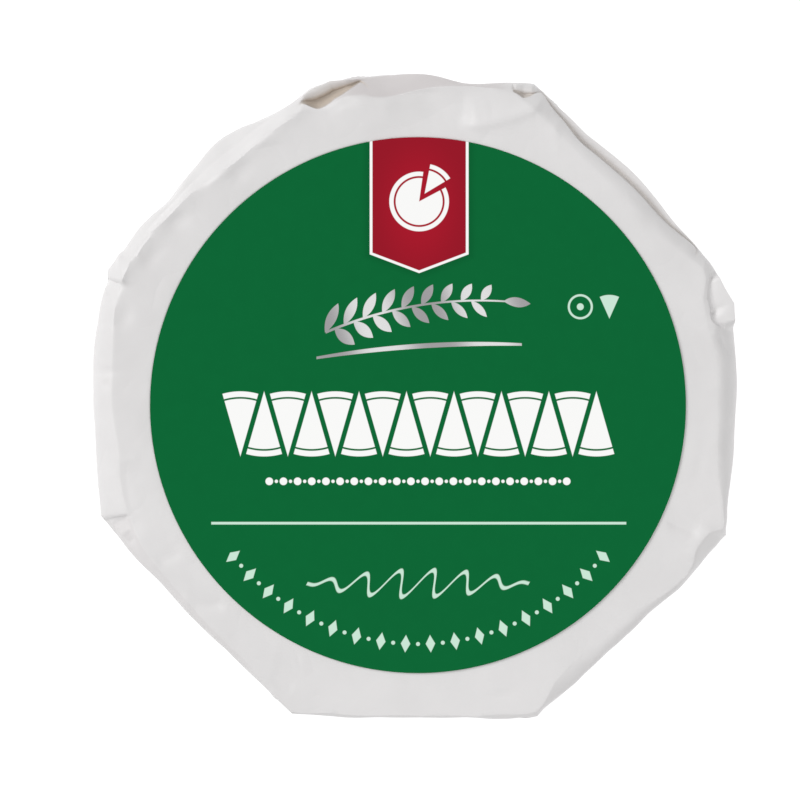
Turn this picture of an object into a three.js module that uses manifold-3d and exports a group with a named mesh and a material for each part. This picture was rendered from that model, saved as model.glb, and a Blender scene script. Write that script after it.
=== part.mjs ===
// A small soft-ripened cheese wheel in its folded paper wrap, with a round label on top
// and a plain round label that holds the folds closed underneath.
// Millimetres, +Z up. The origin is on the wheel's axis, where the part stands.
import * as THREE from 'three';
import { mergeVertices } from 'three/addons/utils/BufferGeometryUtils.js';
import Module from 'manifold-3d';

// The cheese
const WHEEL_RADIUS = 40;
const WHEEL_HEIGHT = 24;
const WHEEL_SHOULDER = 3.2; // rounding of the rind's upper and lower edges

// The paper wrap, a shell as thick as its folded layers
const WRAP_THICKNESS = 0.5;
const WRAP_CLEARANCE = 0.3; // air between rind and paper
const WRAP_SHOULDER = 2.5; // rounding where the top and the base turn into the side
const WRAP_MOUTH_RADIUS = 5; // where the folded-in layers stop short of the middle of the base

// The eight pleats, counter-clockwise from +X. Each stands out to its reach from the axis,
// and the side that follows it lies on a circle of radius belly.
const PLEATS = [
  { degrees: 17, reach: 43.2, belly: 40.9 },
  { degrees: 69, reach: 43.7, belly: 42.1 },
  { degrees: 105, reach: 42.7, belly: 41.2 },
  { degrees: 157.5, reach: 43.2, belly: 42.1 },
  { degrees: 201, reach: 43.75, belly: 41.0 },
  { degrees: 249, reach: 44.3, belly: 42.1 },
  { degrees: 291, reach: 44.4, belly: 41.7 },
  { degrees: 336, reach: 44.5, belly: 42.1 },
];

// The labels
const LABEL_THICKNESS = 0.2;
const ADHESIVE = 0.05; // film between a label and the paper
const FRONT_LABEL_RADIUS = 35;
const FRONT_LABEL_CENTRE = new THREE.Vector2(0.5, -1.2); // stuck on a little off the axis
const BASE_LABEL_RADIUS = 30;

// Fineness of the round shapes
const WHEEL_SEGMENTS = 96;
const SHOULDER_SEGMENTS = 6;
const BEVEL_SEGMENTS = 4;
const BELLY_SEGMENTS = 6;
const LABEL_SEGMENTS = 120;
const MOUTH_SEGMENTS = 32;

// Heights of what is stacked on what
const WRAP_BASE = LABEL_THICKNESS + ADHESIVE;
const WHEEL_BASE = WRAP_BASE + WRAP_THICKNESS + WRAP_CLEARANCE;
const WRAP_HEIGHT = WHEEL_HEIGHT + 2 * (WRAP_THICKNESS + WRAP_CLEARANCE);
const FRONT_LABEL_BASE = WRAP_BASE + WRAP_HEIGHT + ADHESIVE;

function material(color, roughness) {
  return new THREE.MeshStandardMaterial({ color, roughness, metalness: 0 });
}

function mesh(name, geometry, surface) {
  const made = new THREE.Mesh(geometry, surface);
  made.name = name;
  return made;
}

// The wheel's half section, from the axis round both shoulders and back to the axis
function wheelGeometry() {
  const core = WHEEL_RADIUS - WHEEL_SHOULDER;
  const quarter = Math.PI / 2;
  const points = [new THREE.Vector2(0, 0)];
  const corners = [
    { height: WHEEL_SHOULDER, start: -quarter },
    { height: WHEEL_HEIGHT - WHEEL_SHOULDER, start: 0 },
  ];
  for (const { height, start } of corners) {
    for (let i = 0; i <= SHOULDER_SEGMENTS; i += 1) {
      const angle = start + (quarter * i) / SHOULDER_SEGMENTS;
      const x = core + WHEEL_SHOULDER * Math.cos(angle);
      points.push(new THREE.Vector2(x, height + WHEEL_SHOULDER * Math.sin(angle)));
    }
  }
  points.push(new THREE.Vector2(0, WHEEL_HEIGHT));
  return new THREE.LatheGeometry(points, WHEEL_SEGMENTS).rotateX(quarter);
}

// Seen from above, taut paper leaves each pleat's fold in a straight line that touches the
// belly of the side, so every side is a line, an arc and a line.
function wrapOutline(inset) {
  const shape = new THREE.Shape();
  const polar = (radius, angle) => [radius * Math.cos(angle), radius * Math.sin(angle)];
  PLEATS.forEach((pleat, i) => {
    const next = PLEATS[(i + 1) % PLEATS.length];
    const from = THREE.MathUtils.degToRad(pleat.degrees);
    const to = THREE.MathUtils.degToRad(next.degrees) + (next.degrees < pleat.degrees ? 2 * Math.PI : 0);
    const belly = pleat.belly - inset;
    const leaves = from + Math.acos(belly / (pleat.reach - inset));
    const returns = to - Math.acos(belly / (next.reach - inset));
    if (i === 0) {
      shape.moveTo(...polar(pleat.reach - inset, from));
    }
    shape.lineTo(...polar(belly, leaves));
    shape.absarc(0, 0, belly, leaves, returns, false);
    shape.lineTo(...polar(next.reach - inset, to));
  });
  return shape;
}

// A block with the wrap's outline and rounded edges, its underside at z = 0
function wrapBlock(inset, height) {
  const rounding = WRAP_SHOULDER - inset;
  const geometry = new THREE.ExtrudeGeometry(wrapOutline(inset), {
    depth: height - 2 * rounding,
    bevelThickness: rounding,
    bevelSize: rounding,
    bevelOffset: -rounding,
    bevelSegments: BEVEL_SEGMENTS,
    curveSegments: BELLY_SEGMENTS,
  });
  return geometry.translate(0, 0, rounding);
}

const wasm = await Module();
wasm.setup();

function toSolid(geometry) {
  geometry.deleteAttribute('normal');
  geometry.deleteAttribute('uv');
  const merged = mergeVertices(geometry);
  return new wasm.Manifold(
    new wasm.Mesh({
      numProp: 3,
      vertProperties: new Float32Array(merged.attributes.position.array),
      triVerts: new Uint32Array(merged.index.array),
    }),
  );
}

function toGeometry(solid) {
  const { vertProperties, triVerts } = solid.getMesh();
  const geometry = new THREE.BufferGeometry();
  geometry.setAttribute('position', new THREE.BufferAttribute(vertProperties, 3));
  geometry.setIndex(new THREE.BufferAttribute(triVerts, 1));
  geometry.computeVertexNormals();
  return geometry;
}

// The folded sheet: the outer block, less the room for the cheese and the mouth of the folds
function wrapGeometry() {
  const room = wrapBlock(WRAP_THICKNESS, WRAP_HEIGHT - 2 * WRAP_THICKNESS).translate(0, 0, WRAP_THICKNESS);
  const mouth = new THREE.CylinderGeometry(
    WRAP_MOUTH_RADIUS,
    WRAP_MOUTH_RADIUS,
    4 * WRAP_THICKNESS,
    MOUTH_SEGMENTS,
  ).rotateX(Math.PI / 2);
  const shell = toSolid(wrapBlock(0, WRAP_HEIGHT)).subtract(toSolid(room)).subtract(toSolid(mouth));
  return toGeometry(shell);
}

function labelGeometry(radius) {
  const disc = new THREE.CylinderGeometry(radius, radius, LABEL_THICKNESS, LABEL_SEGMENTS);
  return disc.rotateX(Math.PI / 2).translate(0, 0, LABEL_THICKNESS / 2);
}

const cheese = mesh('cheese_wheel', wheelGeometry(), material('#efe8d8', 0.9));
cheese.position.z = WHEEL_BASE;

const wrap = mesh('paper_wrap', wrapGeometry(), material('#dedcdc', 0.55));
wrap.position.z = WRAP_BASE;

const frontLabel = mesh('front_label', labelGeometry(FRONT_LABEL_RADIUS), material('#0d6938', 0.45));
frontLabel.position.set(FRONT_LABEL_CENTRE.x, FRONT_LABEL_CENTRE.y, FRONT_LABEL_BASE);

const baseLabel = mesh('base_seal_label', labelGeometry(BASE_LABEL_RADIUS), material('#f0efec', 0.6));

const part = new THREE.Group();
part.add(cheese, wrap, frontLabel, baseLabel);

export default part;
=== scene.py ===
"""A soft cheese wheel in its folded paper wrap, laid out as an add-on that builds one piece at a time."""
import math
from collections import namedtuple

import bmesh
import bpy
import numpy as np
from bpy.props import FloatProperty, FloatVectorProperty, PointerProperty
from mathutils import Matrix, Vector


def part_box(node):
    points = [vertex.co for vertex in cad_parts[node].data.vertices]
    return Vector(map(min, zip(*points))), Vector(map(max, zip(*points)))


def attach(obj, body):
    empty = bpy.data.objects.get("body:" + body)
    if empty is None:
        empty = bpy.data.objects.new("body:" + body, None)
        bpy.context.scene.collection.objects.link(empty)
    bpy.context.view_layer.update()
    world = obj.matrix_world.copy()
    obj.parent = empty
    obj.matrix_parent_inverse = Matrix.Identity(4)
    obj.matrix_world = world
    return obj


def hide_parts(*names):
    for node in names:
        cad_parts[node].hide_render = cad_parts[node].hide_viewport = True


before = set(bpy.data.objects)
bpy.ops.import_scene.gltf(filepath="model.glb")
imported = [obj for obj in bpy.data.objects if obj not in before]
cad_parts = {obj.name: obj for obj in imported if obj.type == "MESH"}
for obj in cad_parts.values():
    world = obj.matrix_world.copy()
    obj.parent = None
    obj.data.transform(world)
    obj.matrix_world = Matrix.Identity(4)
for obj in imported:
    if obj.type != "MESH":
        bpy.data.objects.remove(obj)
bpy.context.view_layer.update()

bl_info = {
    "name": "Wrapped Cheese Wheel",
    "version": (1, 0, 0),
    "blender": (4, 5, 0),
    "location": "View3D > Sidebar > Cheese",
    "description": "Builds a small cheese wheel in a pleated paper wrap with a round label",
    "category": "Add Mesh",
}

BODY = "root"
MM = 0.001
FULL_TURN = 2 * math.pi


# ---------------------------------------------------------------- places taken from the frame

def node_middle(node):
    low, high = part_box(node)
    return (low + high) / 2


def node_size(node):
    low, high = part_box(node)
    return high - low


# ---------------------------------------------------------------- settings a user would change

def length(name, description, default):
    return FloatProperty(
        name=name, description=description, default=default, unit="LENGTH", precision=5
    )


def colour(name, description, default):
    return FloatVectorProperty(
        name=name, description=description, default=default, subtype="COLOR", size=3, min=0, max=1
    )


class CheeseSettings(bpy.types.PropertyGroup):
    radius: length("Radius", "Radius of the wheel", node_size("cheese_wheel").x / 2)
    height: length("Height", "Height of the wheel", node_size("cheese_wheel").z)
    shoulder: length("Shoulder", "Rounding of the rind's edges", 3.4 * MM)
    bloom: length("Bloom", "Height of the rind's downy unevenness", 0.35 * MM)
    rind: colour("Rind", "Colour of the white bloom", (0.86, 0.81, 0.69))
    rind_ridge: colour("Rind ridges", "Colour where the bloom is rubbed thin", (0.74, 0.60, 0.40))


class WrapSettings(bpy.types.PropertyGroup):
    layer: length("Layer", "Spacing of the folded layers of paper", 0.09 * MM)
    mouth: length("Mouth", "Radius of the gap that the folds leave under the wheel", 12 * MM)
    crumple: length("Crumple", "Height of the paper's creases on the side", 0.42 * MM)
    paper: colour("Paper", "Colour of the coated paper", (0.735, 0.722, 0.722))
    # painted shade: the darker, warmer colour put inside the open pleats, where shade falls
    bare: colour("Shaded side", "Colour of the paper's uncoated inner side", (0.60, 0.53, 0.46))
    # painted shade: the greyer colour given to slopes that lie in shade
    loose: colour("Loose", "Colour of the paper where it stands free of the wheel", (0.605, 0.575, 0.575))


class LabelSettings(bpy.types.PropertyGroup):
    thickness: length("Thickness", "Thickness of the label paper", 0.12 * MM)
    green: colour("Green", "Colour of the label's ground", (0.0036, 0.137, 0.037))
    red: colour("Red", "Colour of the panel", (0.388, 0.0095, 0.024))
    dark_red: colour("Dark red", "Colour of the panel towards its sides", (0.305, 0.0090, 0.021))
    white: colour("White", "Colour of the printed ornaments", (0.94, 0.94, 0.93))
    pale: colour("Pale", "Colour of the fine printed lines", (0.64, 0.85, 0.72))
    # the foil's silver, banded between this and the next colour as painted reflection
    silver: colour("Silver", "Bright colour of the foil", (0.90, 0.90, 0.90))
    dark_reflection_silver: colour("Grey silver", "Dull colour of the foil", (0.42, 0.41, 0.42))
    base_paper: colour("Base label", "Colour of the plain label underneath", (0.80, 0.79, 0.77))


class StageSettings(bpy.types.PropertyGroup):
    view_width: length("View width", "Width that the camera sees", 104.5 * MM)
    camera_height: length("Camera height", "Height of the camera over the floor", 0.9)
    key_power: FloatProperty(name="Key power", description="Power of the light from the left", default=11.4)
    top_power: FloatProperty(name="Top power", description="Power of the light overhead", default=1.9)
    daylight: FloatProperty(name="Daylight", description="Strength of the even light", default=0.45)
    floor: colour("Floor", "Colour of the floor", (0.28, 0.28, 0.28))
    floor_glow: FloatProperty(name="Floor glow", description="Light that the floor gives", default=0.86)


# ---------------------------------------------------------------- shader maths

class Value:
    """A shader socket that sums, products and comparisons can be written with."""

    def __init__(self, shader, socket):
        self.shader = shader
        self.socket = socket

    def _math(self, operation, *inputs):
        return self.shader.node("ShaderNodeMath", {"operation": operation}, dict(enumerate(inputs)))

    def __add__(self, other):
        return self._math("ADD", self, other)

    __radd__ = __add__

    def __sub__(self, other):
        return self._math("SUBTRACT", self, other)

    def __rsub__(self, other):
        return self._math("SUBTRACT", other, self)

    def __mul__(self, other):
        return self._math("MULTIPLY", self, other)

    __rmul__ = __mul__

    def __truediv__(self, other):
        return self._math("DIVIDE", self, other)

    def __neg__(self):
        return self._math("MULTIPLY", self, -1.0)

    def __abs__(self):
        return self._math("ABSOLUTE", self)

    def low(self, other):
        return self._math("MINIMUM", self, other)

    def high(self, other):
        return self._math("MAXIMUM", self, other)

    def fract(self):
        return self._math("FRACT", self)

    def sine(self):
        return self._math("SINE", self)

    def root(self):
        return self._math("SQRT", self)

    def angle_from(self, other):
        return self._math("ARCTAN2", self, other)


class Shader:
    """A material with one Principled surface, built by expressions."""

    def __init__(self, name, **uniform):
        self.material = bpy.data.materials.new(name)
        self.material.use_nodes = True
        self.tree = self.material.node_tree
        self.tree.nodes.clear()
        self.surface = self.tree.nodes.new("ShaderNodeBsdfPrincipled")
        output = self.tree.nodes.new("ShaderNodeOutputMaterial")
        self.tree.links.new(self.surface.outputs[0], output.inputs["Surface"])
        for socket, value in uniform.items():
            self.surface.inputs[socket.replace("_", " ")].default_value = value

    def node(self, kind, settings=None, inputs=None, output=0):
        made = self.tree.nodes.new(kind)
        for name, value in (settings or {}).items():
            if name == "stops":
                self._stops(made.color_ramp, value)
            else:
                setattr(made, name, value)
        for name, value in (inputs or {}).items():
            if isinstance(value, Value):
                self.tree.links.new(value.socket, made.inputs[name])
            else:
                made.inputs[name].default_value = value
        return Value(self, made.outputs[output])

    @staticmethod
    def _stops(ramp, stops):
        while len(ramp.elements) < len(stops):
            ramp.elements.new(0.5)
        for element, (position, shade) in zip(ramp.elements, stops):
            element.position = position
            element.color = shade

    def place(self, middle):
        """Object coordinates in millimetres from a point, as x, y and z."""
        coordinates = self.node("ShaderNodeTexCoord", output="Object")
        moved = self.node(
            "ShaderNodeVectorMath", {"operation": "SUBTRACT"}, {0: coordinates, 1: tuple(middle)}
        )
        scaled = self.node("ShaderNodeVectorMath", {"operation": "SCALE"}, {0: moved, "Scale": 1 / MM})
        return scaled, [self.node("ShaderNodeSeparateXYZ", None, {0: scaled}, axis) for axis in "XYZ"]

    def noise(self, vector, scale, detail=2.0, roughness=0.5, distortion=0.0):
        inputs = {
            "Vector": vector, "Scale": scale, "Detail": detail,
            "Roughness": roughness, "Distortion": distortion,
        }
        return self.node("ShaderNodeTexNoise", None, inputs, "Fac")

    def blend(self, factor, first, second):
        """First where the factor is 0, second where it is 1; both are colours."""
        inputs = {
            "Factor": factor,
            6: first if isinstance(first, Value) else (*first, 1.0),
            7: second if isinstance(second, Value) else (*second, 1.0),
        }
        return self.node("ShaderNodeMix", {"data_type": "RGBA"}, inputs, 2)

    def smooth(self, value, start, end):
        inputs = {"Value": value, "From Min": start, "From Max": end}
        return self.node("ShaderNodeMapRange", {"interpolation_type": "SMOOTHSTEP"}, inputs)

    def feed(self, socket, value):
        self.tree.links.new(value.socket, self.surface.inputs[socket])

    def bump(self, height, distance, strength=1.0):
        inputs = {"Height": height, "Distance": distance, "Strength": strength}
        self.feed("Normal", self.node("ShaderNodeBump", None, inputs))


# ---------------------------------------------------------------- mesh helpers

def deselect():
    if bpy.context.object and bpy.context.object.mode != "OBJECT":
        bpy.ops.object.mode_set(mode="OBJECT")
    bpy.ops.object.select_all(action="DESELECT")


def settle(piece, name, material):
    """Names a piece, gives it its one material and moves its place into its mesh."""
    deselect()
    piece.select_set(True)
    bpy.context.view_layer.objects.active = piece
    bpy.ops.object.transform_apply(location=True, rotation=True, scale=True)
    piece.name = name
    piece.data.name = name
    piece.data.materials.clear()
    piece.data.materials.append(material)
    return piece


def select(piece, kind, wanted):
    """In edit mode, selects the faces or edges for which wanted is true, and nothing else."""
    mesh = bmesh.from_edit_mesh(piece.data)
    bpy.ops.mesh.select_all(action="DESELECT")
    for element in getattr(mesh, kind):
        element.select_set(bool(wanted(element)))
    bmesh.update_edit_mesh(piece.data)


# ---------------------------------------------------------------- the folded sheet, in millimetres

# A spot on the sheet is given by its angle, counter-clockwise from +X in degrees, and its reach: the radius
# seen from above, and past the outline the outline's radius and the way down the side together.

# Each pleat: the angle of its fold, how far it stands out, the radius of the side that follows, the way
# its flap lies (1 counter-clockwise, -1 clockwise), and how far down the side the flap starts.
Pleat = namedtuple("Pleat", "angle reach belly turn start")
PLEATS = [
    Pleat(16.2, 43.55, 40.9, -1, 3.0),
    Pleat(69, 43.7, 42.1, 1, 1.5),
    Pleat(105, 42.7, 41.2, -1, 3.0),
    Pleat(157.5, 43.2, 42.1, 1, 1.6),
    Pleat(201, 43.75, 41.0, 1, 1.6),
    Pleat(249, 44.55, 42.1, 1, 2.2),
    Pleat(291, 44.7, 41.7, -1, 2.2),
    Pleat(336, 44.5, 42.1, 1, 2.2),
]

# Where a side swells past its taut line, or below 0 falls short of it: the angle, the width in degrees
# and how far.
Swell = namedtuple("Swell", "angle width out")
SWELLS = [
    Swell(2, 6, 0.20), Swell(23, 4, 0.66), Swell(28.5, 4, 0.50), Swell(57, 3, -0.25),
    Swell(80, 5.5, -0.80), Swell(108.5, 2.5, 0.35), Swell(118, 4, -0.15), Swell(126, 5, 0.60),
    Swell(140.5, 3, -0.34), Swell(148, 5, 0.40), Swell(163, 2.5, 0.26), Swell(170, 9, 0.58),
    Swell(186, 6, 0.15), Swell(209, 4.5, 0.45), Swell(230, 8, 0.12), Swell(258, 6, 0.45),
    Swell(285, 5, 0.36), Swell(299, 5, 0.45), Swell(311, 6, 0.20), Swell(325.5, 6, 0.80),
    Swell(349, 6, 0.65),
]

# Along the rim: the radius where the flat top ends, how sharply it turns down there, how steeply it falls
# from there, and how much painted shade greys the paper on the slope.
Station = namedtuple("Station", "angle edge crisp fall loose", defaults=(1.15, 0.0))
STATIONS = [
    # right corner and upper right side
    Station(0, 39.5, 0.05), Station(6, 39.5, 0.10), Station(12, 39.4, 0.25), Station(18, 39.9, 0.30),
    Station(23, 41.3, 0.30), Station(28, 39.8, 0.15), Station(34, 38.1, 0.06), Station(43, 37.4, 0.03),
    Station(52, 37.7, 0.04), Station(60, 38.9, 0.10), Station(65, 40.4, 0.25), Station(69, 41.1, 0.40),
    # the fold at the top, greyed with painted shade
    Station(72, 41.6, 0.40), Station(76, 41.4, 0.50, loose=0.8), Station(83, 40.7, 0.70, loose=1.0),
    Station(90, 39.7, 0.85, loose=1.0), Station(95, 39.2, 0.85, loose=1.0),
    Station(100, 39.7, 0.70, loose=1.0), Station(103, 40.1, 0.60, loose=0.7),
    # upper left side and left side
    Station(107, 39.3, 0.50), Station(112, 40.1, 0.55), Station(118, 39.4, 0.60), Station(127, 38.7, 0.60),
    Station(135.5, 38.95, 0.55), Station(138, 39.4, 0.55), Station(145, 40.0, 0.55),
    Station(152, 40.9, 0.55), Station(158, 41.0, 0.55), Station(163, 40.6, 0.50), Station(170, 39.9, 0.40),
    Station(180, 39.6, 0.40), Station(190, 39.4, 0.42), Station(197, 39.8, 0.45), Station(202, 40.2, 0.45),
    # lower left side
    Station(203.5, 40.3, 0.45, loose=0.3), Station(208, 40.5, 0.35, loose=0.3),
    Station(215, 40.2, 0.25, loose=0.2), Station(226, 40.2, 0.15, loose=0.3),
    Station(236, 40.8, 0.15, loose=0.2), Station(243, 42.2, 0.20),
    # foot and lower right side
    Station(249, 44.1, 0.30), Station(256, 42.8, 0.30), Station(270, 41.9, 0.30), Station(284, 42.9, 0.30),
    Station(291, 44.0, 0.20, 0.5), Station(297, 41.5, 0.30, 0.4), Station(305, 40.3, 0.30, 0.3),
    Station(315, 40.3, 0.30, 0.3), Station(323, 41.8, 0.30, 0.6), Station(328, 42.6, 0.35, 0.9),
    Station(332, 41.9, 0.45, 0.7), Station(335, 42.4, 0.45, 0.6), Station(337, 43.9, 0.25, 0.4),
    Station(340, 43.0, 0.20, 0.4), Station(346, 41.1, 0.15, 0.6), Station(353, 39.9, 0.08, 1.0),
]

# An open pleat: where it starts and ends, where along it the opening is widest and how full it is, how
# wide and how deep under its lip, where across it its floor lies, how far its outer lip stands inside
# the outline and below the top, and how much painted shade darkens and warms its inside.
Pocket = namedtuple("Pocket", "start end peak full width depth low rim lip bare")
POCKETS = [
    # the open pleats at the top and at the upper right, the dented corner and the slit beside it
    Pocket(98.0, 112.0, 0.71, 1.4, 2.9, 1.6, 0.48, 0.12, 1.4, 1.0),
    Pocket(67.6, 72.6, 0.45, 0.9, 1.3, 0.6, 0.45, 0.90, 0.9, 0.5),
    Pocket(11.5, 23.0, 0.30, 0.7, 3.2, 0.60, 0.20, 0.06, 0.25, 0.0),
    Pocket(26.0, 69.0, 0.60, 0.8, 1.5, 0.5, 0.25, 0.03, 1.9, 0.3),
]

# A crease from one spot to another: how far it bows to its left, its height (below 0 for a valley), and
# the widths of its left and right flanks, looking along it with the wrap's outside up and
# counter-clockwise to the right.
Crease = namedtuple("Crease", "angle_a reach_a angle_b reach_b bow height left right")
CREASES = [
    # right corner and side
    Crease(6.3, 42.0, 13.2, 40.8, -0.45, -0.20, 0.25, 0.30),
    Crease(15.4, 40.4, 16.0, 42.7, 0.0, -0.22, 0.30, 0.30),
    Crease(12.6, 40.2, 15.6, 42.2, 0.1, 0.14, 0.30, 0.40),
    Crease(16.0, 42.2, 20.8, 41.4, 0.1, 0.16, 0.30, 0.40),
    Crease(12.4, 39.4, 11.4, 41.4, 0.0, 0.18, 0.25, 0.60),
    Crease(23.2, 41.2, 25.6, 42.3, 0.0, 0.15, 0.3, 0.4),
    # upper right corner, and the fans of creases that it throws over the top
    Crease(64.6, 42.8, 81.0, 35.6, -1.40, 0.70, 2.6, 1.0),
    Crease(80.0, 35.8, 80.8, 41.0, 0.0, -0.24, 2.0, 2.4),
    Crease(84.0, 39.9, 101.0, 38.9, -0.25, -0.30, 0.5, 1.0),
    Crease(92.0, 38.6, 107.0, 38.3, 0.20, 0.24, 0.9, 1.2),
    Crease(59.0, 36.3, 63.5, 40.3, 0.2, 0.14, 0.9, 0.9),
    # upper left side
    Crease(107.0, 40.9, 138.5, 38.6, -1.10, 0.78, 0.50, 2.0),
    Crease(133.5, 38.7, 160.5, 41.2, 0.20, 0.66, 0.50, 1.5),
    Crease(109.5, 41.7, 153.0, 41.3, -1.05, -0.26, 0.5, 0.5),
    Crease(115.0, 41.6, 141.0, 41.1, 0.20, 0.30, 0.5, 0.4),
    # left corner
    Crease(153.4, 42.7, 159.8, 40.6, -0.10, 0.50, 0.35, 0.6),
    Crease(159.1, 40.2, 159.3, 44.8, 0.0, -0.50, 0.16, 1.3),
    Crease(160.0, 43.4, 161.8, 42.0, 0.0, 0.18, 0.4, 0.4),
    # left side and lower left corner
    Crease(177.2, 39.7, 178.3, 41.2, 0.0, -0.16, 0.35, 0.35),
    Crease(192.0, 39.3, 208.0, 40.5, 0.0, -0.34, 0.4, 1.2),
    Crease(192.4, 36.6, 192.7, 39.4, 0.0, 0.14, 0.6, 0.6),
    Crease(203.0, 40.0, 201.5, 44.6, 0.0, -0.46, 0.10, 3.0),
    Crease(203.4, 40.9, 202.9, 43.3, 0.0, -0.26, 0.35, 0.35),
    Crease(205.0, 40.8, 205.4, 42.8, 0.0, 0.24, 0.5, 0.3),
    Crease(206.6, 40.9, 207.4, 42.4, 0.0, -0.20, 0.4, 0.4),
    Crease(212.0, 40.5, 240.0, 40.2, -0.20, -0.22, 0.9, 1.2),
    Crease(222.6, 40.6, 228.0, 36.4, 0.0, -0.36, 0.8, 1.4),
    Crease(213.0, 40.6, 214.0, 36.4, 0.0, -0.22, 0.8, 1.2),
    # foot and lower right side
    Crease(242.6, 40.9, 248.2, 41.5, 0.1, -0.20, 0.6, 0.9),
    Crease(241.5, 38.3, 247.5, 37.0, 0.0, -0.14, 0.7, 0.7),
    Crease(328.3, 42.5, 337.2, 43.4, -0.95, 0.36, 0.5, 1.9),
    Crease(333.8, 36.2, 334.3, 41.6, 0.2, -0.32, 1.0, 1.5),
]

# A soft hollow: its middle, its length and width, how deep it is, and its slant in degrees.
Dent = namedtuple("Dent", "angle reach long wide deep slant")
DENTS = [
    Dent(85.5, 38.2, 7, 5.0, 0.40, 0),
    Dent(98.0, 37.8, 8, 5.0, -0.46, 0),
    Dent(127.5, 37.2, 4, 3.0, 0.32, 0),
    Dent(143.5, 38.4, 3.4, 2.2, 0.34, 8),
    Dent(164.8, 39.3, 3.4, 2.2, 0.34, 0),
    Dent(152, 38.6, 4, 1.6, 0.20, 8),
    Dent(175.5, 40.3, 1.2, 3.0, 0.20, 0),
    Dent(286, 40.7, 5, 0.9, 0.20, 0),
    Dent(37, 38.4, 5, 1.7, 0.24, 0),
    Dent(348, 38.4, 7, 1.6, 0.14, 0),
    Dent(232, 41.9, 6, 1.2, 0.30, 8),
]

LABEL_SAFE = 33.4  # the sheet is flat inside this radius
HIDDEN_TOP = (0.35, 0.7, 1.0)  # rings under the label, as shares of that radius
BRIM_STEPS = 18
SLOPE_STEPS = 28
SIDE_STEPS = 20
LIFT_STEPS = 4  # rings of the side over which the flaps come to stand off
TURN_STEPS = 5
BASE_STEPS = 8
EDGE_RING = len(HIDDEN_TOP) - 1 + BRIM_STEPS  # the ring at the edge of the flat top
RINGS = EDGE_RING + 1 + SLOPE_STEPS + SIDE_STEPS + TURN_STEPS + BASE_STEPS
SIDE_COLUMNS = 118
FLAP_COLUMNS = 9
CROWDING = 0.45  # how much closer the columns stand near the folds
RIM_RADIUS = 42.0  # mean radius, where angles are turned into lengths
SLOPE_DROP = 3.0  # mean height of the slope, for the width of the flaps
SLOPE_START = 0.6  # the slope falls at least this much
FLAP_SPREAD = math.tan(FULL_TURN / 16)  # width of a flap for each millimetre of its depth
FLAP_HEM = 1.2  # width that a flap gains just below its start
FLAP_ROOM = 0.9  # share of a side that a flap may cover
FOLD_RAMP = 9.0  # length over which the layers of a fold thin out along the side
FOLD_ROUND = 0.16  # how much a crease's fold is rounded
POCKET_STAGES = (0.30, 0.50, 0.86)  # shares of the slope at a pocket's inner edge, floor and lip
SIDE_TUCK = 0.55  # the side stands this much further in at its foot
BASE_TURN = 2.2  # radius of the turn under the wheel
FLAP_STACK = 0.30  # flaps that lie the other way are this much lower under the wheel
UNDER_RISE = 0.70  # under the wheel the innermost layer lies this far over the wrap's lowest place


def smoothstep(value, start, end):
    t = np.clip((value - start) / (end - start), 0, 1)
    return t * t * (3 - 2 * t)


def turned_by(theta, degrees):
    """The angle from a direction, in radians from minus to plus half a turn."""
    return np.mod(theta - math.radians(degrees) + math.pi, FULL_TURN) - math.pi


def around(theta, stations, name):
    """A curve through the stations' values that never passes beyond them."""
    angles = np.radians([station.angle for station in stations])
    values = np.array([getattr(station, name) for station in stations], float)
    gaps = np.mod(np.roll(angles, -1) - angles, FULL_TURN)
    rises = (np.roll(values, -1) - values) / gaps
    before = np.roll(rises, 1)
    both = np.where(rises + before == 0, 1.0, rises + before)
    tangents = np.where(rises * before > 0, 2 * rises * before / both, 0.0)
    turned = np.mod(theta - angles[0], FULL_TURN) + angles[0]
    here = np.clip(np.searchsorted(angles, turned, side="right") - 1, 0, len(angles) - 1)
    there = (here + 1) % len(angles)
    gap = gaps[here]
    t = (turned - angles[here]) / gap
    return (
        values[here] * (1 + 2 * t) * (1 - t) ** 2 + values[there] * t * t * (3 - 2 * t)
        + gap * t * (1 - t) * (tangents[here] * (1 - t) - tangents[there] * t)
    )


def crumples(points, seed, scale, count):
    """Straight creases that cross at random, from -1 to 1, as in paper that was handled."""
    draw = np.random.default_rng(seed)
    total = np.zeros(points.shape[:-1])
    for _ in range(count):
        way = draw.normal(size=3)
        way /= np.linalg.norm(way)
        fade = draw.normal(size=3) / (3.1 * scale)
        size = scale * draw.uniform(0.6, 1.7)
        wave = np.abs((points @ way / size + draw.random()) % 1 - 0.5) * 4 - 1
        patch = np.clip(np.sin(points @ fade + draw.uniform(0, FULL_TURN)), 0, 1)
        total += wave * patch * size / scale
    return total / math.sqrt(count)


def swells(points, seed, scale, count):
    """Soft unevenness from -1 to 1."""
    draw = np.random.default_rng(seed)
    total = np.zeros(points.shape[:-1])
    for _ in range(count):
        way = draw.normal(size=3) / scale
        total += np.sin(points @ way + draw.uniform(0, FULL_TURN))
    return total / math.sqrt(count)


def crease_height(crease, theta, reach):
    """How far a crease lifts the spots at some angles and reaches."""
    x = turned_by(theta, crease.angle_a) * RIM_RADIUS
    y = reach - crease.reach_a
    way_x = math.radians(crease.angle_b - crease.angle_a) * RIM_RADIUS
    way_y = crease.reach_b - crease.reach_a
    long = math.hypot(way_x, way_y)
    share = (x * way_x + y * way_y) / long ** 2
    away = (y * way_x - x * way_y) / long - 4 * crease.bow * share * (1 - share)
    end = min(0.35, max(1.2 / long, 0.25))
    fade = smoothstep(share, 0, end) * (1 - smoothstep(share, 1 - end, 1))
    flank = np.where(away > 0, crease.left, crease.right)
    away = np.hypot(away, FOLD_ROUND) - FOLD_ROUND
    return crease.height * fade * np.exp(-away / flank)


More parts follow.
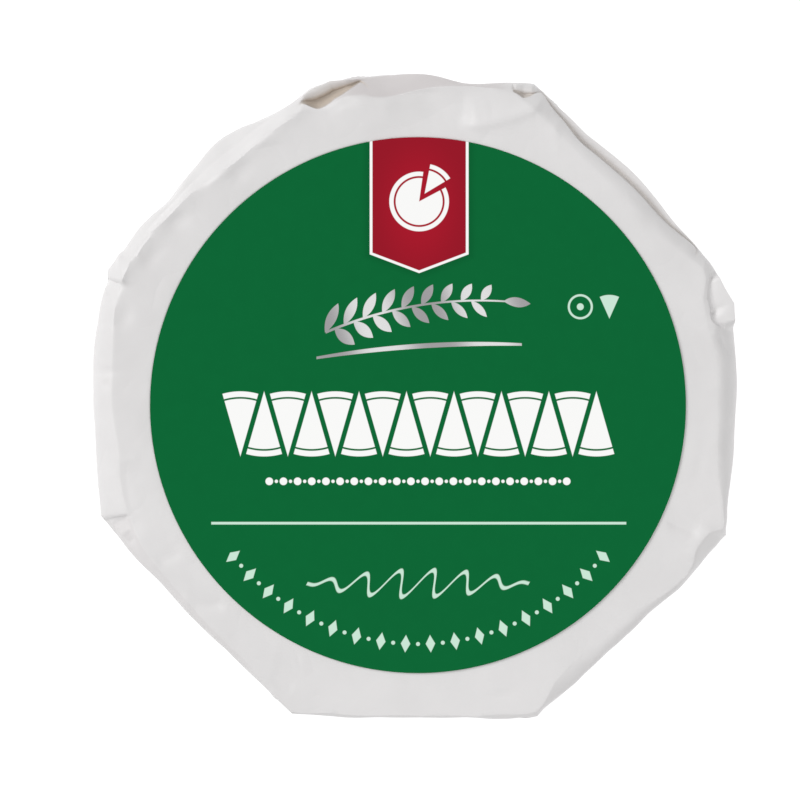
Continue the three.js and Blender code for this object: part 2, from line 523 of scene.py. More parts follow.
def dent_height(dent, theta, reach):
    along = turned_by(theta, dent.angle) * RIM_RADIUS
    across = reach - dent.reach - along * math.tan(math.radians(dent.slant))
    return -dent.deep * np.exp(-((along / dent.long * 2) ** 2) - (across / dent.wide * 2) ** 2)


def side_creases():
    """Long creases that fan down the sides from each pleat, and a few that cross them."""
    draw = np.random.default_rng(23)
    made = []
    for pleat in PLEATS:
        for way in (-1, 1):
            for spread in (5.0, 11.0, 17.0):
                lean = way * spread * draw.uniform(0.8, 1.2)
                top = draw.uniform(42.5, 46.0)
                made.append(Crease(
                    pleat.angle + 0.12 * lean, top, pleat.angle + lean, top + draw.uniform(11, 19),
                    way * draw.uniform(-0.6, 0.6), draw.choice([-1, 1]) * draw.uniform(0.16, 0.36),
                    draw.uniform(0.5, 1.6), draw.uniform(0.5, 1.6),
                ))
        for _ in range(2):
            angle = pleat.angle + draw.uniform(12, 34)
            made.append(Crease(
                angle, draw.uniform(46, 56), angle + draw.uniform(6, 12), draw.uniform(46, 60),
                draw.uniform(-0.8, 0.8), draw.uniform(-0.2, 0.2),
                draw.uniform(0.6, 2.0), draw.uniform(0.6, 2.0),
            ))
    return made


class SheetForm:
    """Where any spot of the folded sheet lies. Angles are in radians, lengths in millimetres."""

    def __init__(self, settings):
        low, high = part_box("paper_wrap")
        self.top = high.z / MM
        self.base = low.z / MM
        self.mouth = settings.mouth / MM
        self.stand = settings.layer / MM
        self.crumple = settings.crumple / MM
        self.angles = np.radians([pleat.angle for pleat in PLEATS])
        self.ends = np.append(self.angles[1:], self.angles[0] + FULL_TURN)
        self.label_middle = np.array(node_middle("front_label")[:2]) / MM
        self.label_radius = node_size("front_label").x / MM / 2
        self.creases = CREASES + side_creases()

    def side_of(self, theta):
        turned = np.mod(theta - self.angles[0], FULL_TURN) + self.angles[0]
        side = np.clip(np.searchsorted(self.angles, turned, side="right") - 1, 0, len(PLEATS) - 1)
        return side, turned - self.angles[side], self.ends[side] - turned

    def outline(self, theta):
        """The outermost radius: taut from each fold to the belly of the side."""
        side, past, left = self.side_of(theta)
        bellies = np.array([pleat.belly for pleat in PLEATS])
        reaches = np.array([pleat.reach for pleat in PLEATS])
        belly = bellies[side]
        radius = belly
        for reach, away in ((reaches[side], past), (np.roll(reaches, -1)[side], left)):
            lean = np.arccos(belly / reach)
            radius = np.maximum(radius, belly / np.cos(np.maximum(0, lean - away)))
        for swell in SWELLS:
            apart = turned_by(theta, swell.angle) / math.radians(swell.width)
            radius = radius + swell.out * np.exp(-(apart ** 2))
        return radius

    def edge(self, theta):
        waver = 0.12 * np.sin(9 * theta + 1.0) + 0.08 * np.sin(23 * theta + 4.0)
        return np.minimum(around(theta, STATIONS, "edge") + waver, self.outline(theta) - 0.25)

    def slope_drop(self, theta):
        return SLOPE_START + around(theta, STATIONS, "fall") * (self.outline(theta) - self.edge(theta))

    def slope(self, theta, share):
        """A spot on the slope between the top's edge, share 0, and the side, share 1."""
        outer, edge = self.outline(theta), self.edge(theta)
        crisp = around(theta, STATIONS, "crisp")
        fallen = crisp * share + (1 - crisp) * (1 - np.sqrt(np.clip(1 - share ** 2, 0, 1)))
        return edge + (outer - edge) * share, self.top - self.slope_drop(theta) * fallen

    def pocket(self, pocket, theta, share):
        """The slope where a pleat gapes: a slope, an inner wall, an outer wall and a lip."""
        degrees = np.degrees(np.mod(theta, FULL_TURN))
        along = np.clip((degrees - pocket.start) / (pocket.end - pocket.start), 0, 1)
        rise = np.where(along < pocket.peak, along / pocket.peak, (1 - along) / (1 - pocket.peak))
        opening = np.sin(rise * math.pi / 2) ** pocket.full
        outer, edge = self.outline(theta), self.edge(theta)
        lip = outer - pocket.rim
        inner = np.maximum(lip - pocket.width * opening, edge)
        inner_share, lip_share = (inner - edge) / (outer - edge), (lip - edge) / (outer - edge)
        inner_z = self.slope(theta, inner_share)[1]
        slope_z = self.slope(theta, lip_share)[1]
        lip_z = slope_z + np.maximum(0, self.top - pocket.lip - slope_z) * np.minimum(1, 2 * opening)
        floor = np.minimum(inner_z, lip_z) - pocket.depth * opening
        middle = inner + (lip - inner) * pocket.low
        if share <= POCKET_STAGES[0]:
            return self.slope(theta, inner_share * share / POCKET_STAGES[0])
        if share <= POCKET_STAGES[1]:
            part = (share - POCKET_STAGES[0]) / (POCKET_STAGES[1] - POCKET_STAGES[0])
            sunk = math.sin(part * math.pi / 2)
            return inner + (middle - inner) * part ** 1.6, inner_z + (floor - inner_z) * sunk
        if share <= POCKET_STAGES[2]:
            part = (share - POCKET_STAGES[1]) / (POCKET_STAGES[2] - POCKET_STAGES[1])
            climbed = part * (2 - part)
            return middle + (lip - middle) * part, floor + (lip_z - floor) * climbed
        part = (share - POCKET_STAGES[2]) / (1 - POCKET_STAGES[2])
        end_z = self.slope(theta, 1.0)[1]
        over = part * math.pi / 2
        return lip + (outer - lip) * math.sin(over), end_z + (lip_z - end_z) * math.cos(over)

    def pocket_share(self, pocket, theta):
        degrees = np.degrees(np.mod(theta, FULL_TURN))
        end = min(2.0, (pocket.end - pocket.start) / 6)
        return smoothstep(degrees, pocket.start, pocket.start + end) * (
            1 - smoothstep(degrees, pocket.end - end, pocket.end)
        )

    def ring(self, number, theta):
        """Radius, height, reach and the tilt of the sheet's outside, for one ring of the sheet."""
        if number < len(HIDDEN_TOP):
            radius = np.full_like(theta, LABEL_SAFE * HIDDEN_TOP[number])
            return radius, np.full_like(theta, self.top), radius, math.pi / 2
        number -= len(HIDDEN_TOP) - 1
        if number <= BRIM_STEPS:
            radius = LABEL_SAFE + (self.edge(theta) - LABEL_SAFE) * number / BRIM_STEPS
            return radius, np.full_like(theta, self.top), radius, math.pi / 2
        number -= BRIM_STEPS
        if number <= SLOPE_STEPS:
            share = number / SLOPE_STEPS
            reach, height = self.slope(theta, share)
            radius = reach
            for pocket in POCKETS:
                gape = self.pocket_share(pocket, theta)
                inside, deep = self.pocket(pocket, theta, share)
                radius = radius + (inside - radius) * gape
                height = height + (deep - height) * gape
            return radius, height, reach, math.pi / 2 * (1 - share)
        number -= SLOPE_STEPS
        outer = self.outline(theta)
        start = self.top - self.slope_drop(theta)
        end = self.base + BASE_TURN
        if number <= SIDE_STEPS:
            part = number / SIDE_STEPS
            height = start + (end - start) * part
            return outer - SIDE_TUCK * part ** 2, height, outer + start - height, 0.0
        number -= SIDE_STEPS
        reach = outer + start - end
        outer = outer - SIDE_TUCK
        if number <= TURN_STEPS:
            angle = math.pi / 2 * number / TURN_STEPS
            radius = outer - BASE_TURN * (1 - math.cos(angle))
            height = np.full_like(theta, end - BASE_TURN * math.sin(angle))
            return radius, height, reach + BASE_TURN * angle, -angle
        number -= TURN_STEPS
        part = number / BASE_STEPS
        radius = (outer - BASE_TURN) * (1 - part) + self.mouth * part
        reach = reach + 2 * BASE_TURN + outer - radius
        return radius, np.full_like(theta, self.base), reach, -math.pi / 2

    def bare(self, number, theta):
        """How much painted shade darkens and warms an open pleat, from 0 to 1: most on a pocket's inner
        wall.
        """
        number -= EDGE_RING
        total = np.zeros_like(theta)
        if 0 < number <= SLOPE_STEPS:
            share = number / SLOPE_STEPS
            inside = float(smoothstep(share, POCKET_STAGES[0], POCKET_STAGES[0] + 0.08))
            inside *= 1 - 0.85 * float(smoothstep(share, POCKET_STAGES[1], POCKET_STAGES[1] + 0.16))
            inside *= 1 - float(smoothstep(share, POCKET_STAGES[2], POCKET_STAGES[2] + 0.05))
            for pocket in POCKETS:
                total = np.maximum(total, pocket.bare * inside * self.pocket_share(pocket, theta))
        return total

    def loose(self, number, theta):
        """How much painted shade greys the paper on the slope, from 0 to 1."""
        share = (number - EDGE_RING) / SLOPE_STEPS
        on_slope = float(smoothstep(share, -0.02, 0.10) * (1 - smoothstep(share, 1.0, 1.3)))
        return on_slope * around(theta, STATIONS, "loose")

    def depth(self, number):
        """How far down the side a ring lies, and its mean radius, for the width of the flaps."""
        number -= EDGE_RING + SLOPE_STEPS
        side = self.top - self.base - SLOPE_DROP
        if number <= SIDE_STEPS:
            return side * number / SIDE_STEPS, RIM_RADIUS
        number -= SIDE_STEPS
        if number <= TURN_STEPS:
            return side, RIM_RADIUS
        part = (number - TURN_STEPS) / BASE_STEPS
        radius = (RIM_RADIUS - BASE_TURN) * (1 - part) + self.mouth * part
        return side + 2 * (RIM_RADIUS - BASE_TURN - radius), radius


# One line down the sheet: the pleat it belongs to, its angle, the share of the flap's width that it
# moves by, its lift over the sheet below, and whether it is part of a flap.
Column = namedtuple("Column", "pleat angle spread lift fold")


def sheet_columns(form):
    """The columns of the sheet in order, counter-clockwise, with every fold."""
    columns = []
    stand = form.stand
    ramp = FOLD_RAMP / RIM_RADIUS
    for index, pleat in enumerate(PLEATS):
        owner = (index + 1) % len(PLEATS)
        turn = PLEATS[owner].turn
        start, end = form.angles[index], form.ends[index]
        for step in range(SIDE_COLUMNS):
            share = step / SIDE_COLUMNS
            share -= CROWDING * math.sin(FULL_TURN * share) / FULL_TURN
            angle = start + (end - start) * share
            lift = 0.0
            if pleat.turn < 0:
                lift += 2 * stand * (1 - float(smoothstep(angle - start, 0, ramp)))
            if turn > 0:
                lift += 2 * stand * (1 - float(smoothstep(end - angle, 0, ramp)))
            columns.append(Column(index, angle, 0.0, lift, False))
        shares = [step / FLAP_COLUMNS for step in range(FLAP_COLUMNS + 1)]
        out = [(share, stand * (2 - 1.1 * share ** 3)) for share in shares[:-1]]
        back = [(share, stand * (1 - 0.7 * share ** 3)) for share in shares[:-1]]
        tip = [(1.0, 0.6 * stand)]
        path = out + tip + back[::-1] if turn > 0 else [(0.0, 0.0)] + back + tip + out[:0:-1]
        columns.extend(Column(owner, end, turn * share, lift, True) for share, lift in path)
    return columns


def flap_width(form, owner, number):
    """Width of a flap at a ring, as an angle."""
    down, radius = form.depth(number)
    below = down - PLEATS[owner].start
    if below <= 0:
        return 0.0
    width = FLAP_SPREAD * below + FLAP_HEM * (1 - math.exp(-below / FLAP_HEM))
    after = form.ends[owner] - form.angles[owner]
    before = form.ends[owner - 1] - form.angles[owner - 1]
    return min(width / radius, FLAP_ROOM * min(after, before))


def place_ring(form, number, theta, lift):
    """The points of one ring, with creases, dents and the stacking of the layers."""
    radius, height, reach, tilt = form.ring(number, theta)
    flat = np.stack([radius * np.cos(theta), radius * np.sin(theta), height], axis=-1)
    below = max(0, number - EDGE_RING)
    on_side = min(1.0, below / SLOPE_STEPS)
    away = np.hypot(flat[..., 0] - form.label_middle[0], flat[..., 1] - form.label_middle[1])
    free = smoothstep(away, form.label_radius + 0.1, form.label_radius + 2.2)
    down = min(1.0, max(0.0, below - SLOPE_STEPS) / SIDE_STEPS)
    # broad and fine crumples on the side, with soft waves, and fainter ones on the top
    rough = form.crumple * on_side * (1 + 1.1 * math.sin(math.pi * down))
    bulge = rough * (0.55 * crumples(flat, 11, 13.0, 9) + 0.30 * crumples(flat, 29, 5.5, 10))
    bulge = bulge + 0.12 * on_side * swells(flat, 5, 9.0, 5)
    bulge = bulge + (1 - on_side) * (0.05 * swells(flat, 3, 6.0, 6) + 0.06 * crumples(flat, 17, 9.0, 8))
    for crease in form.creases:
        bulge = bulge + crease_height(crease, theta, reach)
    for dent in DENTS:
        bulge = bulge + dent_height(dent, theta, reach)
    bulge = bulge * free
    under = min(1.0, max(0.0, below - SLOPE_STEPS - SIDE_STEPS) / TURN_STEPS)
    bulge = bulge * (1 - 0.92 * under) - UNDER_RISE * under
    rise = bulge + lift * float(smoothstep(below, SLOPE_STEPS, SLOPE_STEPS + LIFT_STEPS))
    radius = radius + rise * math.cos(tilt)
    height = height + rise * math.sin(tilt)
    return np.stack([radius * np.cos(theta), radius * np.sin(theta), height], axis=-1)


def sheet_mesh(form):
    """The whole folded sheet as one open surface, from the top's middle to the mouth underneath."""
    columns = sheet_columns(form)
    owners, angles, spreads, lifts, folds = (np.array(values) for values in zip(*columns))
    first = {}
    for place, column in enumerate(columns):
        if not column.fold:
            first.setdefault(column.pleat, place)
    turned_back = folds & (np.array([pleat.turn for pleat in PLEATS])[owners] < 0)
    points = [np.array([[0.0, 0.0, form.top]])]
    pocket_shades, slope_shades = [np.zeros(1)], [np.zeros(1)]
    grid = []
    made = 1
    for number in range(RINGS):
        widths = np.zeros(len(PLEATS))
        if number > EDGE_RING + SLOPE_STEPS:
            widths = np.array([flap_width(form, owner, number) for owner in range(len(PLEATS))])
        own = ~folds | (widths[owners] > 0)
        theta = angles + spreads * widths[owners]
        under = max(0, number - EDGE_RING - SLOPE_STEPS - SIDE_STEPS) / TURN_STEPS
        lift = lifts + FLAP_STACK * turned_back * min(1.0, under)
        row = np.zeros(len(columns), int)
        row[own] = made + np.arange(own.sum())
        for column in np.flatnonzero(~own):
            row[column] = row[first[owners[column]]]
        points.append(place_ring(form, number, theta, lift)[own])
        pocket_shades.append(form.bare(number, theta)[own])
        slope_shades.append(form.loose(number, theta)[own])
        grid.append(row)
        made += int(own.sum())
    faces = []
    for column in range(len(columns)):
        beside = (column + 1) % len(columns)
        if grid[0][column] != grid[0][beside]:
            faces.append((0, grid[0][column], grid[0][beside]))
        for upper, lower in zip(grid, grid[1:]):
            corners = (upper[column], lower[column], lower[beside], upper[beside])
            kept = [corner for i, corner in enumerate(corners) if corner != corners[i - 1]]
            if len(set(kept)) >= 3:
                faces.append(tuple(int(corner) for corner in kept))
    mesh = bpy.data.meshes.new("paper_sheet")
    mesh.from_pydata((np.concatenate(points) * MM).tolist(), [], faces)
    for name, values in (("bare", pocket_shades), ("loose", slope_shades)):
        mesh.attributes.new(name, "FLOAT", "POINT").data.foreach_set("value", np.concatenate(values))
    mesh.validate()
    return mesh


# ---------------------------------------------------------------- materials

def rind_material(settings):
    shader = Shader("bloomy_rind", Roughness=0.92)
    spot, _ = shader.place(node_middle("cheese_wheel"))
    bloom = shader.noise(spot, 0.35, 6, 0.62)
    patches = shader.smooth(shader.noise(spot, 0.09, 3, 0.5, 0.6), 0.50, 0.68)
    rind, ridge = tuple(settings.rind), tuple(settings.rind_ridge)
    shader.feed("Base Color", shader.blend(patches * 0.55, rind, ridge))
    shader.bump(bloom + 0.4 * shader.noise(spot, 1.8, 3), 0.35 * MM, 0.8)
    return shader.material


def paper_material(settings):
    shader = Shader("coated_wrap_paper", Roughness=0.46)
    spot, _ = shader.place((0, 0, 0))
    bare = shader.node("ShaderNodeAttribute", {"attribute_name": "bare"}, None, "Fac")
    loose = shader.node("ShaderNodeAttribute", {"attribute_name": "loose"}, None, "Fac")
    cloud = shader.noise(spot, 0.10, 3, 0.55)
    fibre = shader.noise(spot, 2.6, 3, 0.6)
    tone = shader.smooth(cloud, 0.3, 0.7)
    light = tuple(settings.paper)
    dark = tuple(channel * 0.955 for channel in light)
    # painted shade: the paper is greyed on slopes that lie in shade
    ground = shader.blend(loose, shader.blend(tone, light, dark), tuple(settings.loose))
    # painted shade: darker, warmer colour inside the open pleats
    shader.feed("Base Color", shader.blend(bare, ground, tuple(settings.bare)))
    wave = shader.noise(spot, 0.22, 2, 0.5, 0.4)
    fold = abs(shader.noise(spot, 0.16, 1, 0.4, 0.8) - 0.5)
    shader.bump(0.55 * wave + 1.1 * fold + 0.03 * fibre, 0.5 * MM, 0.5)
    return shader.material


INK_EDGE = 0.035  # softness of a printed edge, in millimetres


def ink(away):
    """A printed shape from its signed distance in millimetres: 1 inside and 0 outside."""
    return away.shader.node(
        "ShaderNodeMapRange", None,
        {"Value": away, "From Min": INK_EDGE, "From Max": -INK_EDGE},
    )


def turned(x, y, degrees):
    """The spot x, y in axes turned by an angle."""
    c = math.cos(math.radians(degrees))
    s = math.sin(math.radians(degrees))
    return x * c + y * s, y * c - x * s


def length_of(x, y):
    return (x * x + y * y).root()


def wedge_away(x, y, radius, half_angle):
    """Distance from a portion with its point at the origin and its rind towards +y."""
    c = math.cos(math.radians(half_angle))
    s = math.sin(math.radians(half_angle))
    return (length_of(x, y) - radius).high(abs(x) * c - y * s)


def repeat(x, period):
    """x measured from the middle of the nearest of the repeated cells."""
    return ((x / period).fract() - 0.5) * period


def cut_wheel_away(x, y, radius):
    """A wheel seen from above with one portion drawn out of it, and a fine line along its rind."""
    half, out = 27, 0.32 * radius
    across, along = turned(x, y, -35)
    wheel = (length_of(x, y) - radius).high(-wedge_away(across, along, 3 * radius, half))
    portion = wedge_away(across, along - out, radius, half - 3)
    rind = abs(length_of(x, y) - 0.82 * radius) - 0.13
    portion_rind = abs(length_of(across, along - out) - 0.82 * radius) - 0.13
    return wheel.high(-rind).low(portion.high(-portion_rind))


def portion_band_away(x, y):
    """A row of portions, point up and point down in turn."""
    tall, period, half = 8.5, 6.2, 16
    low, middle = -6.7, 0.05
    pairs = 8
    band = None
    for side, height in ((-1, y - low), (1, (low + tall) - y)):
        across = x - (middle + side * period / 4)
        cell = repeat(across, period)
        rind = abs(length_of(cell, height) - 0.9 * tall) - 0.12
        portion = wedge_away(cell, height, tall, half).high(-rind)
        portion = portion.high(abs(across) - pairs * period / 2)
        band = portion if band is None else band.low(portion)
    return band


def dot_row_away(x, y):
    period, half_length, height = 1.85, 20.05, -9.95
    dots = length_of(repeat(x, period), y - height) - 0.50
    small = length_of(repeat(x + period / 2, period), y - height) - 0.22
    return dots.low(small).high(abs(x) - half_length)


def rule_away(x, y):
    return (abs(x - 0.1) - 27.1).high(abs(y + 15.42) - 0.17)


def flourish_away(x, y):
    """A fine slanted wave that dies out at both ends."""
    half_length, height, period = 14.5, -23.3, 4.3
    leaning = x - 0.55 * (y - height)
    share = (1 - (leaning / half_length) * (leaning / half_length)).high(0.0)
    wave = share * 1.75 * (leaning * (FULL_TURN / period)).sine()
    line = abs(y - height - wave) * 0.5 - 0.10 - 0.05 * share
    return line.high(abs(leaning) - half_length)


def lozenge_arc_away(x, y):
    """Lozenges and dots in turn along an arc near the label's lower edge."""
    radius, period, half_angle = 31.2, 3.25, 53
    along = x.angle_from(-y) * radius
    across = length_of(x, y) - radius
    lozenges = (abs(repeat(along, period)) / 0.62 + abs(across) / 1.15 - 1) * 0.5
    dots = length_of(repeat(along + period / 2, period), across) - 0.26
    return lozenges.low(dots).high(abs(along) - radius * math.radians(half_angle))


def small_sign_away(x, y):
    """A small ring with a dot, and a portion beside it."""
    ring = abs(length_of(x - 21.2, y - 12.85) - 1.5) - 0.14
    dot = length_of(x - 21.2, y - 12.85) - 0.45
    portion = wedge_away(x - 25.0, y - 11.3, 3.1, 24)
    return ring.low(dot).low(portion)


def sprig_away(x, y):
    """A leafy sprig that rises to the right."""
    along, across = turned(x - 0.2, y - 12.7, 9)
    across = across + 0.010 * along * along - 0.35
    half_length, period = 12.6, 2.6
    taper = 1 - 0.35 * ((along + half_length) / (2 * half_length))
    stem = (abs(across) - 0.16 * taper).high(abs(along) - half_length)
    leaves = None
    for side, shift, first in ((1, 0.0, -5), (-1, period / 2, -4)):
        cell = ((along + shift) / period).fract() * period - 0.30
        a, b = turned(cell, side * across, 52)
        long = 3.9 * taper
        share = a / long
        leaf = abs(b) - 2.9 * taper * share * (1 - share)
        leaf = leaf.high(-a).high(a - long)
        leaf = leaf.high(first * period - shift + 0.1 - along).high(along + shift - 4 * period)
        leaves = leaf if leaves is None else leaves.low(leaf)
    tip = (along - (half_length - 1.6)) / 3.4
    end_leaf = (abs(across) - 2.6 * tip * (1 - tip)).high(-tip).high(tip - 1)
    return stem.low(leaves).low(end_leaf)


def underline_away(x, y):
    """A brush stroke that rises and levels out, thinner at both ends."""
    rise = 8.0 - 0.0037 * (x - 9.0) * (x - 9.0)
    share = (x - 0.15) / 13.5
    thick = 0.16 + 0.15 * (1 - share * share)
    return (abs(y - rise) - thick).high(abs(x - 0.15) - 13.4)


PANEL_MIDDLE = 0.15
PANEL_HALF = 6.1
PANEL_LOW = 20.0
KEYLINE = 0.36  # width of the white line round the panel


def panel_away(x, y):
    """A red pennant that hangs from the label's top edge, with a blunt point below."""
    across = abs(x - PANEL_MIDDLE)
    return (across - PANEL_HALF).high((PANEL_LOW - 2.4 - y) + 0.38 * across)


def label_material(settings):
    shader = Shader("printed_label_paper", Roughness=0.55, Specular_IOR_Level=0.02)
    spot, (x, y, _) = shader.place(node_middle("front_label"))
    tooth = shader.noise(spot, 3.0, 3, 0.6)
    mottle = shader.noise(spot, 0.5, 2, 0.5)
    green = tuple(settings.green)
    ground = shader.blend(mottle * 0.5, green, tuple(channel * 0.86 for channel in green))
    panel = panel_away(x, y)
    # painted shadow: the green darkens in a soft band round the red panel
    glow = shader.smooth(panel, 1.6, 0.2)
    ground = shader.blend(glow * 0.30, ground, tuple(channel * 0.45 for channel in green))
    middle = shader.smooth(length_of((x - PANEL_MIDDLE) * 1.15, (y - 26) * 0.75), 1.5, 8.0)
    red = shader.blend(middle, tuple(settings.red), tuple(settings.dark_red))
    colours = shader.blend(ink(panel - KEYLINE), ground, tuple(settings.white))
    colours = shader.blend(ink(panel), colours, red)
    white = cut_wheel_away(x - PANEL_MIDDLE, y - 26.6, 3.9)
    white = white.low(portion_band_away(x, y)).low(dot_row_away(x, y))
    colours = shader.blend(ink(white), colours, tuple(settings.white))
    fine = rule_away(x, y).low(flourish_away(x, y))
    fine = fine.low(lozenge_arc_away(x, y)).low(small_sign_away(x, y))
    colours = shader.blend(ink(fine) * 0.92, colours, tuple(settings.pale))
    foil = ink(sprig_away(x, y).low(underline_away(x, y)))
    # painted reflection: slanted bands of bright and dull silver across the foil
    painted_reflection = shader.smooth(((x + 0.35 * y + 5.5) * (FULL_TURN / 14.5)).sine(), -1.0, 1.0)
    silver = shader.blend(painted_reflection, tuple(settings.dark_reflection_silver), tuple(settings.silver))
    shader.feed("Base Color", shader.blend(foil, colours, silver))
    shader.feed("Metallic", foil * 0.5)
    shader.feed("Roughness", 0.58 - 0.26 * foil)
    shader.bump(0.2 * tooth + 0.5 * foil, 0.02 * MM, 0.5)
    return shader.material


def base_label_material(settings):
    shader = Shader("plain_label_paper", Roughness=0.6)
    spot, (x, y, _) = shader.place(node_middle("base_seal_label"))
    tooth = shader.noise(spot, 2.5, 4, 0.6)
    line = ink(abs(length_of(x, y) - 27.5) - 0.2)
    paper = tuple(settings.base_paper)
    ground = shader.blend(tooth, paper, tuple(channel * 0.94 for channel in paper))
    green = tuple(bpy.context.scene.cheese_label.green)
    shader.feed("Base Color", shader.blend(line, ground, green))
    shader.bump(tooth, 0.03 * MM, 0.4)
    return shader.material


# ---------------------------------------------------------------- operators

class CHEESE_OT_wheel(bpy.types.Operator):
    """Add the cheese itself, a wheel with rounded edges and a downy rind"""

    bl_idname = "cheese.wheel"
    bl_label = "Cheese wheel"

    def execute(self, context):
        settings = context.scene.cheese_wheel
        deselect()
        bpy.ops.mesh.primitive_cylinder_add(
            vertices=96, radius=settings.radius, depth=settings.height,
            location=node_middle("cheese_wheel"),
        )
        wheel = context.object
        bpy.ops.object.mode_set(mode="EDIT")
        select(wheel, "faces", lambda face: len(face.verts) > 4)
        for share in (0.13, 0.15, 0.18, 0.22):
            bpy.ops.mesh.inset(thickness=share * settings.radius)
        sharp = math.radians(80)
        select(wheel, "edges", lambda edge: edge.is_manifold and edge.calc_face_angle(0) > sharp)
        bpy.ops.mesh.bevel(offset=settings.shoulder, segments=6, affect="EDGES")
        bpy.ops.mesh.select_all(action="SELECT")
        bpy.ops.mesh.normals_make_consistent(inside=False)
        bpy.ops.object.mode_set(mode="OBJECT")
        smooth = wheel.modifiers.new("smooth", "SUBSURF")
        smooth.levels = smooth.render_levels = 2
        bloom = bpy.data.textures.new("bloom", "CLOUDS")
        bloom.noise_scale = 9 * MM
        downy = wheel.modifiers.new("downy", "DISPLACE")
        downy.texture = bloom
        downy.texture_coords = "LOCAL"
        downy.strength = settings.bloom
        downy.mid_level = 0.9
        for modifier in (smooth.name, downy.name):
            bpy.ops.object.modifier_apply(modifier=modifier)
        bpy.ops.object.shade_smooth()
        wheel = settle(wheel, "bloomy_wheel", rind_material(settings))
        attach(wheel, BODY)
        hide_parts("cheese_wheel")
        return {"FINISHED"}


class CHEESE_OT_wrap(bpy.types.Operator):
    """Add the folded paper wrap, one sheet with eight pleats"""

    bl_idname = "cheese.wrap"
    bl_label = "Paper wrap"

    def execute(self, context):
        settings = context.scene.cheese_wrap
        form = SheetForm(settings)
        wrap = bpy.data.objects.new("folded_wrap", sheet_mesh(form))
        context.collection.objects.link(wrap)
        wrap = settle(wrap, "folded_wrap", paper_material(settings))
        bpy.ops.object.shade_smooth_by_angle(angle=math.radians(38))
        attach(wrap, BODY)
        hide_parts("paper_wrap")
        return {"FINISHED"}


def round_label(node, thickness, name, material):
    """A thin disc with softened edges, in the middle of its node's place."""
    deselect()
    bpy.ops.mesh.primitive_cylinder_add(
        vertices=256, radius=node_size(node).x / 2, depth=thickness, location=node_middle(node),
    )
    label = bpy.context.object
    bpy.ops.object.mode_set(mode="EDIT")
    select(label, "faces", lambda face: len(face.verts) > 4)
    for share in (0.04, 0.08, 0.16, 0.2, 0.2):
        bpy.ops.mesh.inset(thickness=share * node_size(node).x / 2)
    rim = node_size(node).x / 2 - thickness / 10

    def along_rim(edge):
        first, second = (corner.co for corner in edge.verts)
        outside = min(first.to_2d().length, second.to_2d().length) > rim
        return outside and edge.calc_length() > 2 * thickness and abs(first.z - second.z) < thickness / 9

    select(label, "edges", along_rim)
    bpy.ops.mesh.bevel(offset=thickness * 0.3, segments=2, affect="EDGES")
    bpy.ops.object.mode_set(mode="OBJECT")
    bpy.ops.object.shade_smooth_by_angle(angle=math.radians(30))
    label = settle(label, name, material)
    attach(label, BODY)
    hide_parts(node)
    return label


class CHEESE_OT_front_label(bpy.types.Operator):
    """Add the round printed label on top"""

    bl_idname = "cheese.front_label"
    bl_label = "Front label"

    def execute(self, context):
        settings = context.scene.cheese_label
        label = round_label("front_label", settings.thickness, "printed_label", label_material(settings))
        return {"FINISHED"}


class CHEESE_OT_base_label(bpy.types.Operator):
    """Add the plain label that holds the folds closed underneath"""

    bl_idname = "cheese.base_label"
    bl_label = "Base label"

    def execute(self, context):
        settings = context.scene.cheese_label
        thickness = node_size("base_seal_label").z
        label = round_label("base_seal_label", thickness, "plain_label", base_label_material(settings))
        return {"FINISHED"}


def soft_light(name, place, size, power):
    """A round area light that faces the wheel."""
    deselect()
    bpy.ops.object.light_add(type="AREA", location=place)
    light = bpy.context.object
    light.name = name
    light.data.shape = "DISK"
    light.data.size = size
    light.data.energy = power
    light.rotation_euler = (-light.location).to_track_quat("-Z", "Y").to_euler()


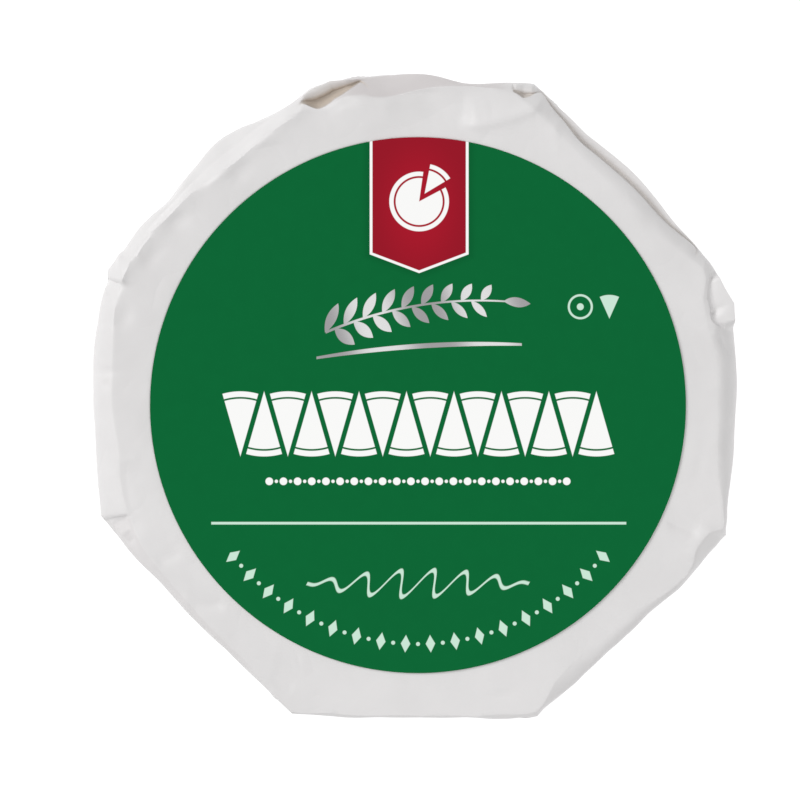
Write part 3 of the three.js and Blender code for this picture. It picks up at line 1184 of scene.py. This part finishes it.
class CHEESE_OT_stage(bpy.types.Operator):
    """Add the floor, the soft lights and the camera that looks straight down"""

    bl_idname = "cheese.stage"
    bl_label = "Stage"

    def execute(self, context):
        settings = context.scene.cheese_stage
        scene = context.scene
        scene.view_settings.view_transform = "Standard"
        deselect()
        bpy.ops.mesh.primitive_plane_add(size=8, location=(0, 0, 0))
        floor = context.object
        shader = Shader(
            "pale_floor", Base_Color=(*settings.floor, 1), Roughness=0.9, Specular_IOR_Level=0.0,
            Emission_Color=(1, 1, 1, 1), Emission_Strength=settings.floor_glow,
        )
        floor = settle(floor, "floor", shader.material)
        world = bpy.data.worlds.new("even_daylight")
        world.use_nodes = True
        background = world.node_tree.nodes["Background"]
        background.inputs["Color"].default_value = (1, 1, 1, 1)
        background.inputs["Strength"].default_value = settings.daylight
        scene.world = world
        soft_light("soft_key", (-1.00, 0.56, 0.82), 0.9, settings.key_power)
        soft_light("soft_top", (0.30, -0.28, 0.68), 0.5, settings.top_power)
        deselect()
        place = (-1.85 * MM, 0.45 * MM, settings.camera_height)
        bpy.ops.object.camera_add(location=place, rotation=(0, 0, 0))
        camera = context.object
        camera.name = "overhead_camera"
        distance = settings.camera_height - node_middle("front_label").z
        camera.data.sensor_width = 36
        camera.data.lens = camera.data.sensor_width * distance / settings.view_width
        camera.data.clip_start = 0.01
        scene.camera = camera
        return {"FINISHED"}


class CHEESE_PT_panel(bpy.types.Panel):
    """Buttons for each piece, and their sizes and colours"""

    bl_label = "Wrapped cheese"
    bl_space_type = "VIEW_3D"
    bl_region_type = "UI"
    bl_category = "Cheese"

    def draw(self, context):
        scene = context.scene
        for operator in OPERATORS:
            self.layout.operator(operator.bl_idname)
        for settings in (scene.cheese_wheel, scene.cheese_wrap, scene.cheese_label, scene.cheese_stage):
            box = self.layout.box()
            for name in settings.__annotations__:
                box.prop(settings, name)


SETTINGS = {
    "cheese_wheel": CheeseSettings,
    "cheese_wrap": WrapSettings,
    "cheese_label": LabelSettings,
    "cheese_stage": StageSettings,
}
OPERATORS = (
    CHEESE_OT_stage, CHEESE_OT_wheel, CHEESE_OT_wrap, CHEESE_OT_front_label, CHEESE_OT_base_label,
)


def register():
    for name, group in SETTINGS.items():
        bpy.utils.register_class(group)
        setattr(bpy.types.Scene, name, PointerProperty(type=group))
    for operator in OPERATORS:
        bpy.utils.register_class(operator)
    bpy.utils.register_class(CHEESE_PT_panel)


def unregister():
    bpy.utils.unregister_class(CHEESE_PT_panel)
    for operator in reversed(OPERATORS):
        bpy.utils.unregister_class(operator)
    for name, group in reversed(SETTINGS.items()):
        delattr(bpy.types.Scene, name)
        bpy.utils.unregister_class(group)


def main():
    register()
    bpy.ops.cheese.stage()
    bpy.ops.cheese.wheel()
    bpy.ops.cheese.wrap()
    bpy.ops.cheese.front_label()
    bpy.ops.cheese.base_label()


if __name__ == "__main__":
    main()
